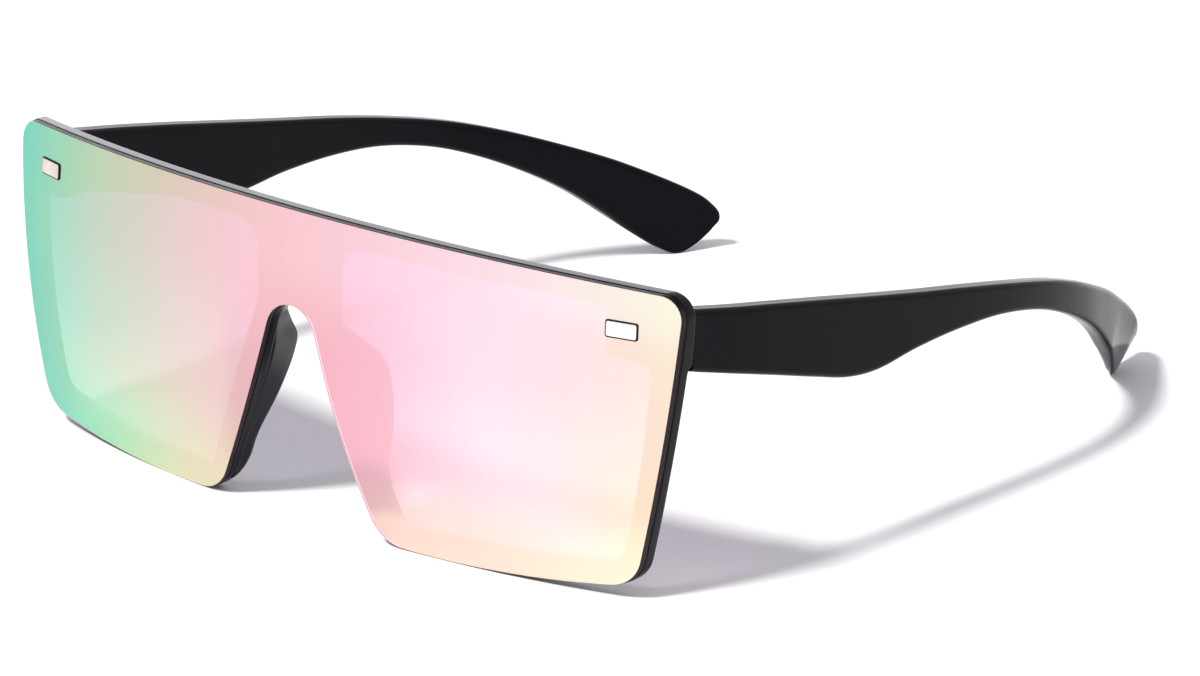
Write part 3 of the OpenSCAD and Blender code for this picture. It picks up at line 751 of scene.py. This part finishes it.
def build_front():
    sheet = Sheet()
    shares = {k: shares_with(60, LENS_CORNERS, k, BLOCK_LOW - LIFT - DRAFT / 2, BELT) for k in (0, 2)}
    fans = [i * math.pi / 10 for i in range(6)]

    def walls(make_loop, sign, flip):
        """Rings from the front edge over the wall to the rounded back edge; sign says where the solid is.
        A ring has its outline, the face it follows and how far behind it, or, with no face, its share of
        the wall's depth."""
        rings = []
        for grow, off in ((CRISP, 0.0), (CRISP * 0.3, CRISP * 0.3), (0.0, CRISP)):
            rings.append((make_loop(sign * grow), plate_front, off))
        for share in (0.3, 0.65):
            rings.append((make_loop(0.0), None, share))
        for turn in fans:
            grown = make_loop(sign * SOFT_R * (1 - math.cos(turn)))
            rings.append((grown, front_back, -SOFT_R * (1 - math.sin(turn))))
        made = []
        for pts, height, off in rings:
            if flip:
                pts = mirrored(pts)
            if height is None:
                low = plate_front(pts[:, 0], pts[:, 1] + LIFT) + CRISP
                high = front_back(pts[:, 0], pts[:, 1] + LIFT) - SOFT_R
                y = low + (high - low) * off
            else:
                y = height(pts[:, 0], pts[:, 1] + LIFT) + off
            made.append((pts, sheet.add(np.column_stack([pts[:, 0], y, pts[:, 1] + LIFT]))))
        for a, b in zip(made, made[1:]):
            sheet.strip(a[1], b[1])
        return made

    def rim(grow):
        return outline(LENS_CORNERS, LENS_BOWS, REVEAL + grow, corner_n=24, side_shares=shares, side_n=60)

    def opening(grow):
        return outline(EYE_CORNERS, EYE_BOWS, grow, side_n=26)

    outer = walls(rim, -1, False)
    eyes = [walls(opening, 1, flip) for flip in (False, True)]

    plain = grid(FRONT_GRID)
    fill(sheet, outer[0][0], outer[0][1], [e[0] for e in eyes], plain, plate_front, clear=0.7)
    # Rows of points along the slopes of the end pieces
    apart = 0.8
    slopes = []
    for d in np.linspace(-DRAFT, 0, 8):
        for s in (-1, 1):
            slopes += [(s * (BLOCK_X + d), z) for z in np.arange(EYE_TOP - 2, LENS_H, apart)]
            slopes += [(s * x, BLOCK_LOW - LIFT + d) for x in np.arange(BLOCK_X - 1, HALF_W, apart)]
            slopes += [(s * x, TEMPLE_Z - LIFT - d) for x in np.arange(BLOCK_X - 1, HALF_W, apart)]
    dense = np.concatenate([np.array(slopes), plain])
    fill(sheet, outer[-1][0], outer[-1][1], [e[-1] for e in eyes], dense, front_back, clear=0.25)

    for flip in (False, True):
        sheet.loft(pad_rings(flip))
    front = sheet.make("front_moulding", [FRONT_BLACK])
    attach(front, "front")
    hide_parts("front_frame")


# Nose pads, which grow out of the moulding along the notch

# Height, depth and lean along the notch, as shares of its height, the pad's depth and the pad's splay
PAD_Z = [0.055, 0.07, 0.1, 0.14, 0.19, 0.24, 0.31, 0.43, 0.51, 0.59, 0.67, 0.745, 0.83, 0.915, 0.985]
PAD_DEEP = [0, 0.1, 0.21, 0.28, 0.32, 0.34, 0.43, 0.71, 0.86, 0.96, 1, 0.96, 0.66, 0.3, 0.06]
PAD_LEAN = [0, 0, 0, 0, 0.05, 0.12, 0.25, 0.57, 0.77, 0.9, 0.97, 1, 0.85, 0.3, 0]
# How far from the notch the pad's root begins and ends
PAD_SUNK, PAD_ROOT = 0.06, RIM_NOSE * 0.75
# Count of rings, and the angle from which the free edge is round, down to 0, with its count of points
PAD_RINGS, PAD_FAN_FROM, PAD_FAN_N = 78, 150, 13


def notch_x(z):
    """Half width of the notch in the front, at height z over the lens's lower inner corners."""
    if z > notch_round[1] + (NOTCH_R - REVEAL) / 2:
        return math.sqrt(max(0, (NOTCH_R - REVEAL) ** 2 - (z - notch_round[1]) ** 2))
    return notch_arc[0][0] - math.sqrt((notch_arc[1] + REVEAL) ** 2 - (z - notch_arc[0][1]) ** 2)


def on_fan(x, y, r, degrees):
    """The point at an angle on the circle of radius r round x, y."""
    return x + r * math.cos(math.radians(degrees)), y + r * math.sin(math.radians(degrees))


def between(p, q):
    """The three points that part the way from p to q in four."""
    return [(p[0] + (q[0] - p[0]) * t, p[1] + (q[1] - p[1]) * t) for t in (0.25, 0.5, 0.75)]


def pad_rings(flip):
    """Level rings of a nose pad, each from the root in the rim over the round free edge and back."""
    rings = []
    for s in np.linspace(0, len(PAD_Z) - 1, PAD_RINGS):
        z = float(through(PAD_Z, s)) * NOTCH_TOP
        deep = max(0.0, float(through(PAD_DEEP, s)))
        lean = max(0.0, float(through(PAD_LEAN, s)))
        x = notch_x(z)
        y = float(ball_y(FRONT_R, x, z + LIFT)) + FRONT_T / 2
        edge_x = x + PAD_EDGE_R + PAD_SPLAY * lean
        edge_y = y + FRONT_T / 2 - PAD_EDGE_R + PAD_DEPTH * deep
        fan = [on_fan(edge_x, edge_y, PAD_EDGE_R, a) for a in np.linspace(PAD_FAN_FROM, 0, PAD_FAN_N)]
        inner, outer = (x + PAD_SUNK, y), (x + PAD_ROOT, y)
        ring = [inner] + between(inner, fan[0]) + fan + between(fan[-1], outer) + [outer]
        rings.append([(-p[0] if flip else p[0], p[1], z + LIFT) for p in ring])
    return rings


# The temples

# Upper and lower edge from the hinge to the tip, as shares of the temple's length and of the height of
# its upper edge at the hinge
TEMPLE_TOP = [
    (0, 1), (0.062, 0.966), (0.131, 0.931), (0.208, 0.89), (0.271, 0.855), (0.327, 0.824),
    (0.397, 0.786), (0.481, 0.742), (0.564, 0.693), (0.649, 0.634), (0.726, 0.562), (0.796, 0.483),
    (0.859, 0.404), (0.906, 0.334), (0.946, 0.269), (0.975, 0.215), (0.991, 0.173), (0.999, 0.144),
    (1, 0.121),
]
TEMPLE_LOW = [
    (0, 0.786), (0.062, 0.738), (0.131, 0.684), (0.205, 0.624), (0.261, 0.582), (0.314, 0.571),
    (0.383, 0.595), (0.464, 0.605), (0.544, 0.593), (0.624, 0.546), (0.694, 0.473), (0.76, 0.38),
    (0.813, 0.285), (0.859, 0.179), (0.893, 0.092), (0.92, 0.03), (0.943, 0), (0.967, 0.028),
    (0.989, 0.077),
]
# How far the temple has curled inwards at even steps of its length, with one step beyond the tip
TEMPLE_CURL = [0, -0.028, -0.037, -0.034, -0.026, -0.014, 0.01, 0.062, 0.157, 0.31, 0.53, 0.772, 1, 1.2]
TEMPLE_Y = END_BACK + STOP_GAP
TEMPLE_L = DEPTH - TEMPLE_Y
# Stations along the temple, two to each step of its edges
STATIONS = 2 * (len(TEMPLE_TOP) - 1)
# How late along the temple its section becomes round, and the largest share of it that is rounded
TIP_POWER, ROUNDED = 6, 0.98
# Points round a corner of the section, and between corners along its tall sides and its top and foot
FAN_N, TALL_N, FLAT_N = 9, 5, 1


def plan_x(y):
    """The temple's middle plane, seen from above."""
    return TEMPLE_X - CURL * float(through(TEMPLE_CURL, (y - TEMPLE_Y) / TEMPLE_L * (len(TEMPLE_CURL) - 2)))


def plan_slope(y):
    step = 0.05
    return (plan_x(y + step) - plan_x(y - step)) / (2 * step)


def half_thick(z):
    """Half the temple's thickness at height z, where only the tip is thinner."""
    return TEMPLE_T / 2 * min(1, TIP_THIN + (1 - TIP_THIN) * z / TIP_H)


def tip_in(z):
    return TIP_LEAN * max(0, 1 - z / TIP_H) ** 2


def temple_ring(i, scale=1.0):
    """The rounded section of the temple at station i, shrunk by scale."""
    a, b = through(TEMPLE_TOP, i / 2), through(TEMPLE_LOW, i / 2)
    high = vec(TEMPLE_Y + a[0] * TEMPLE_L, a[1] * TEMPLE_Z)
    low = vec(TEMPLE_Y + b[0] * TEMPLE_L, b[1] * TEMPLE_Z)
    mid, up = (high + low) / 2, unit(high - low)
    half_h = np.linalg.norm(high - low) / 2
    full = (i / STATIONS) ** TIP_POWER
    flat = []
    for k, (sx, sz) in enumerate(QUARTERS):
        half_t = half_thick(high[1] if k < 2 else low[1])
        r = min(TEMPLE_EDGE_R * (1 - full) + half_t * full, half_h * ROUNDED, half_t * ROUNDED)
        for f in np.linspace(0, 90, FAN_N):
            flat.append(vec(*on_fan(sx * (half_t - r), sz * (half_h - r), r, f + 90 * k)))
    ring = []
    for k, p in enumerate(flat):
        ring.append(p)
        corner, rest = divmod(k + 1, FAN_N)
        if rest == 0:
            q = flat[(k + 1) % len(flat)]
            n = FLAT_N if corner % 2 else TALL_N
            ring += [p + (q - p) * t / (n + 1) for t in range(1, n + 1)]
    made = []
    for w, h in ring:
        at = mid + up * h * scale
        wide = math.sqrt(1 + plan_slope(at[0]) ** 2)
        made.append((plan_x(at[0]) - tip_in(at[1]) + w * scale * wide, at[0], at[1]))
    return made


def build_temple(name, s, node, body):
    sheet = Sheet()
    # The end at the hinge is rounded over round_r. Its height shrinks by the share per_mm for each
    # millimetre that its sides move in.
    round_r, per_mm = 0.28, 0.14
    rings = []
    for t in (0.0, 0.35, 0.7, 1.0):
        ring = np.array(temple_ring(0))
        middle = ring.mean(0)
        inset = (1 - math.sqrt(1 - (1 - t) ** 2)) * round_r
        ring[:, 0] = middle[0] + (ring[:, 0] - middle[0]) * (1 - inset / (TEMPLE_T / 2))
        ring[:, 2] = middle[2] + (ring[:, 2] - middle[2]) * (1 - per_mm * inset)
        ring[:, 1] += round_r * t
        rings.append(ring)
    # The rest is in even steps, and the last station shrinks to a blunt point
    last, step, blunt = STATIONS - 1.0, 0.25, 0.7
    for i in np.arange(0.5, last + 0.01, step):
        rings.append(np.array(temple_ring(i)))
    for f in np.linspace(0.08, 0.98, 9):
        angle = f * math.pi / 2
        rings.append(np.array(temple_ring(last + math.sin(angle), math.cos(angle) ** blunt)))
    sheet.loft([r * vec(s, 1, 1) for r in rings])
    temple = sheet.make(name, [TEMPLE_BLACK])
    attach(temple, body)
    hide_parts(node)


# Small metal parts

# CAD points nearer than SEAM, in metres, become one. Faces that turn less than FLAT_TURN become one, and
# edges that turn more than EDGE_TURN are bevelled, in degrees.
SEAM, FLAT_TURN, EDGE_TURN = 2e-6, 1.0, 38


def refined(node, name, body, material, width):
    """A CAD part with its edges broken by a small bevel, as a new piece."""
    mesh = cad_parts[node].data.copy()
    bm = bmesh.new()
    bm.from_mesh(mesh)
    bmesh.ops.remove_doubles(bm, verts=bm.verts, dist=SEAM)
    bmesh.ops.dissolve_limit(bm, angle_limit=math.radians(FLAT_TURN), verts=bm.verts, edges=bm.edges)
    for f in bm.faces:
        f.smooth = True
        f.material_index = 0
    bm.to_mesh(mesh)
    bm.free()
    mesh.materials.clear()
    mesh.materials.append(material)
    made = in_scene(name, mesh)
    edge = made.modifiers.new("broken_edges", "BEVEL")
    edge.width = width * MM
    edge.segments = 2
    edge.limit_method = "ANGLE"
    edge.angle_limit = math.radians(EDGE_TURN)
    edge.harden_normals = False
    even_out(made)
    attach(made, body)
    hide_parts(node)


def rounded_box(w, h, r):
    pts = []
    for k, (sx, sz) in enumerate(QUARTERS):
        pts += [on_fan(sx * (w / 2 - r), sz * (h / 2 - r), r, f + 90 * k) for f in np.linspace(0, 90, 7)]
    return pts


# Rings of a plaque from the lens outwards: how far in from its sides, height over the lens, radius of the
# corners, and slot of the strip to the next ring, where 0 is the face and 1 the dark edge, which is painted
# shade
PLAQUE_RINGS = [(0.04, 0.02, 0.41, 1), (0.0, 0.06, 0.45, 1), (0.0, 0.11, 0.45, 1), (0.04, 0.16, 0.42, 1),
                (0.25, 0.22, 0.3, 0), (0.33, 0.25, 0.25, 0), (0.46, 0.27, 0.18, 0)]
# Ends of a post over and under the front of the lens, and its count of points
POST_TOP, POST_LOW, POST_N = 0.2, -LENS_T - GLUE_T - POST_SUNK, 24


def build_plaque(name, s, node):
    lean = math.asin((PLAQUE_Z - BALL_Z) / LENS_R)
    turn = math.asin(PLAQUE_X / LENS_R / math.cos(lean))
    place = Matrix.Translation((PLAQUE_X, float(ball_y(LENS_R, PLAQUE_X, PLAQUE_Z)), PLAQUE_Z)) \
        @ Matrix.Rotation(turn, 4, "Z") @ Matrix.Rotation(math.pi / 2 - lean, 4, "X")

    def put(pts, up):
        """The plane points at a height over the lens, as points in space."""
        return [tuple(place @ Vector((x, z, up))) for x, z in pts]

    sheet = Sheet()
    rings = [sheet.add(put(rounded_box(PLAQUE_W - 2 * inset, PLAQUE_H - 2 * inset, r), up))
             for inset, up, r, _ in PLAQUE_RINGS]
    for (a, b), (_, _, _, slot) in zip(zip(rings, rings[1:]), PLAQUE_RINGS):
        sheet.strip(a, b, slot)
    sheet.face(rings[-1], 0)
    sheet.face(rings[0][::-1], 1)
    for c in (-1, 1):
        circle = [(math.cos(a) * POST_R + c * POST_PITCH / 2, math.sin(a) * POST_R)
                  for a in np.linspace(0, 2 * math.pi, POST_N, endpoint=False)]
        sheet.loft([put(circle, up) for up in (POST_LOW, POST_TOP)], 1)
    sheet.points = [(p[0] * s, p[1], p[2]) for p in sheet.points]
    plaque = sheet.make(name, [PLAQUE_FACES[0 if s > 0 else 1], PLAQUE_SHADED_EDGE])
    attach(plaque, "front")
    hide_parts(node)


# Widths of the small bevels that break the edges of the hinges and the screws
HINGE_CUT, SCREW_CUT = 0.09, 0.05

build_lens()
build_front()
for word, s in (("left", 1), ("right", -1)):
    arm = f"{word}_temple_arm"
    build_temple(f"{word}_temple_polished", s, f"{word}_temple", arm)
    build_plaque(f"{word}_plaque_polished", s, f"{word}_plaque")
    refined(f"{word}_front_hinge", f"{word}_front_knuckles", "front", HINGE_STEEL, HINGE_CUT)
    refined(f"{word}_temple_hinge", f"{word}_temple_leaf", arm, HINGE_STEEL, HINGE_CUT)
    refined(f"{word}_hinge_screw", f"{word}_slotted_screw", "front", SCREW_STEEL, SCREW_CUT)


# The floor, the lights and the camera

FLOOR_HALF = 6.0
# Strength of the surroundings as a light, and where they are seen, reflected or looked at through
# something
WORLD_LIT, WORLD_SEEN = 0.55, 1.0
# Direction from which the sun shines, and the place of the panel in metres
KEY_FROM, PANEL_AT = (-0.09, -0.71, 1.0), (-0.86, 0.95, 0.42)
# The camera of the photograph: its width and focal length in pixels, its place in millimetres, the
# directions of its back and its right side, and its roll in degrees
PHOTO_W, FOCAL_PX, SENSOR = 1200, 7297.9, 36.0
CAMERA_AT = (784.716, -871.74178, 397.62076)
CAMERA_BACK, CAMERA_RIGHT = (0.63755083, -0.70429296, 0.31225049), (0.74107418, 0.6714219, 0.00129786)
CAMERA_ROLL = 0.088


def build_floor():
    mesh = bpy.data.meshes.new("studio_floor")
    corners = [(sx * FLOOR_HALF, sy * FLOOR_HALF, 0) for sx, sy in ((-1, -1), (1, -1), (1, 1), (-1, 1))]
    mesh.from_pydata(corners, [], [(0, 1, 2, 3)])
    floor = in_scene("studio_floor", mesh)
    made, _, _, shade = shader("floor_white")
    shade.inputs["Base Color"].default_value = (0.9, 0.9, 0.9, 1)
    shade.inputs["Roughness"].default_value = 0.9
    shade.inputs["Specular IOR Level"].default_value = 0.0
    mesh.materials.append(made)


def build_light():
    world = bpy.data.worlds.new("studio")
    bpy.context.scene.world = world
    world.use_nodes = True
    nodes, links = world.node_tree.nodes, world.node_tree.links
    back = nodes["Background"]
    rays = nodes.new("ShaderNodeLightPath")
    seen = sums(nodes, links, "MAXIMUM", rays.outputs["Is Camera Ray"], rays.outputs["Is Glossy Ray"])
    seen = sums(nodes, links, "MAXIMUM", seen, rays.outputs["Is Transmission Ray"])
    links.new(ranged(nodes, links, seen, WORLD_LIT, WORLD_SEEN), back.inputs["Strength"])
    links.new(blended(nodes, links, seen, (0.985, 0.965, 1.03, 1), (1.0, 1.0, 1.0, 1)), back.inputs["Color"])

    key = bpy.data.lights.new("key", "SUN")
    key.angle = math.radians(9)
    key.energy = 3.1
    key.color = (1.0, 0.995, 0.98)
    lamp = in_scene("key", key)
    towards = Vector(KEY_FROM).normalized()
    lamp.location = towards * 2.0
    lamp.rotation_euler = towards.to_track_quat("Z", "Y").to_euler()

    # A low panel behind the object, which puts the pale sheen on its upper faces
    panel = bpy.data.lights.new("panel", "AREA")
    panel.shape = "RECTANGLE"
    panel.size, panel.size_y = 1.3, 0.45
    panel.energy = 3.7
    panel.color = (0.94, 0.92, 1.0)
    lamp = in_scene("panel", panel)
    lamp.location = Vector(PANEL_AT)
    lamp.rotation_euler = lamp.location.to_track_quat("Z", "Y").to_euler()


def build_camera():
    data = bpy.data.cameras.new("camera")
    data.sensor_width = SENSOR
    data.lens = FOCAL_PX / PHOTO_W * SENSOR
    data.clip_start, data.clip_end = 0.1, 50.0
    camera = in_scene("camera", data)
    back = Vector(CAMERA_BACK).normalized()
    right = Vector(CAMERA_RIGHT)
    right = (right - back * right.dot(back)).normalized()
    up = back.cross(right)
    roll = math.radians(CAMERA_ROLL)
    r = right * math.cos(roll) + up * math.sin(roll)
    u = up * math.cos(roll) - right * math.sin(roll)
    turned = Matrix((r, u, back)).transposed().to_4x4()
    camera.matrix_world = Matrix.Translation(Vector(CAMERA_AT) * MM) @ turned
    bpy.context.scene.camera = camera


build_floor()
build_light()
build_camera()
bpy.context.scene.view_settings.view_transform = "Standard"
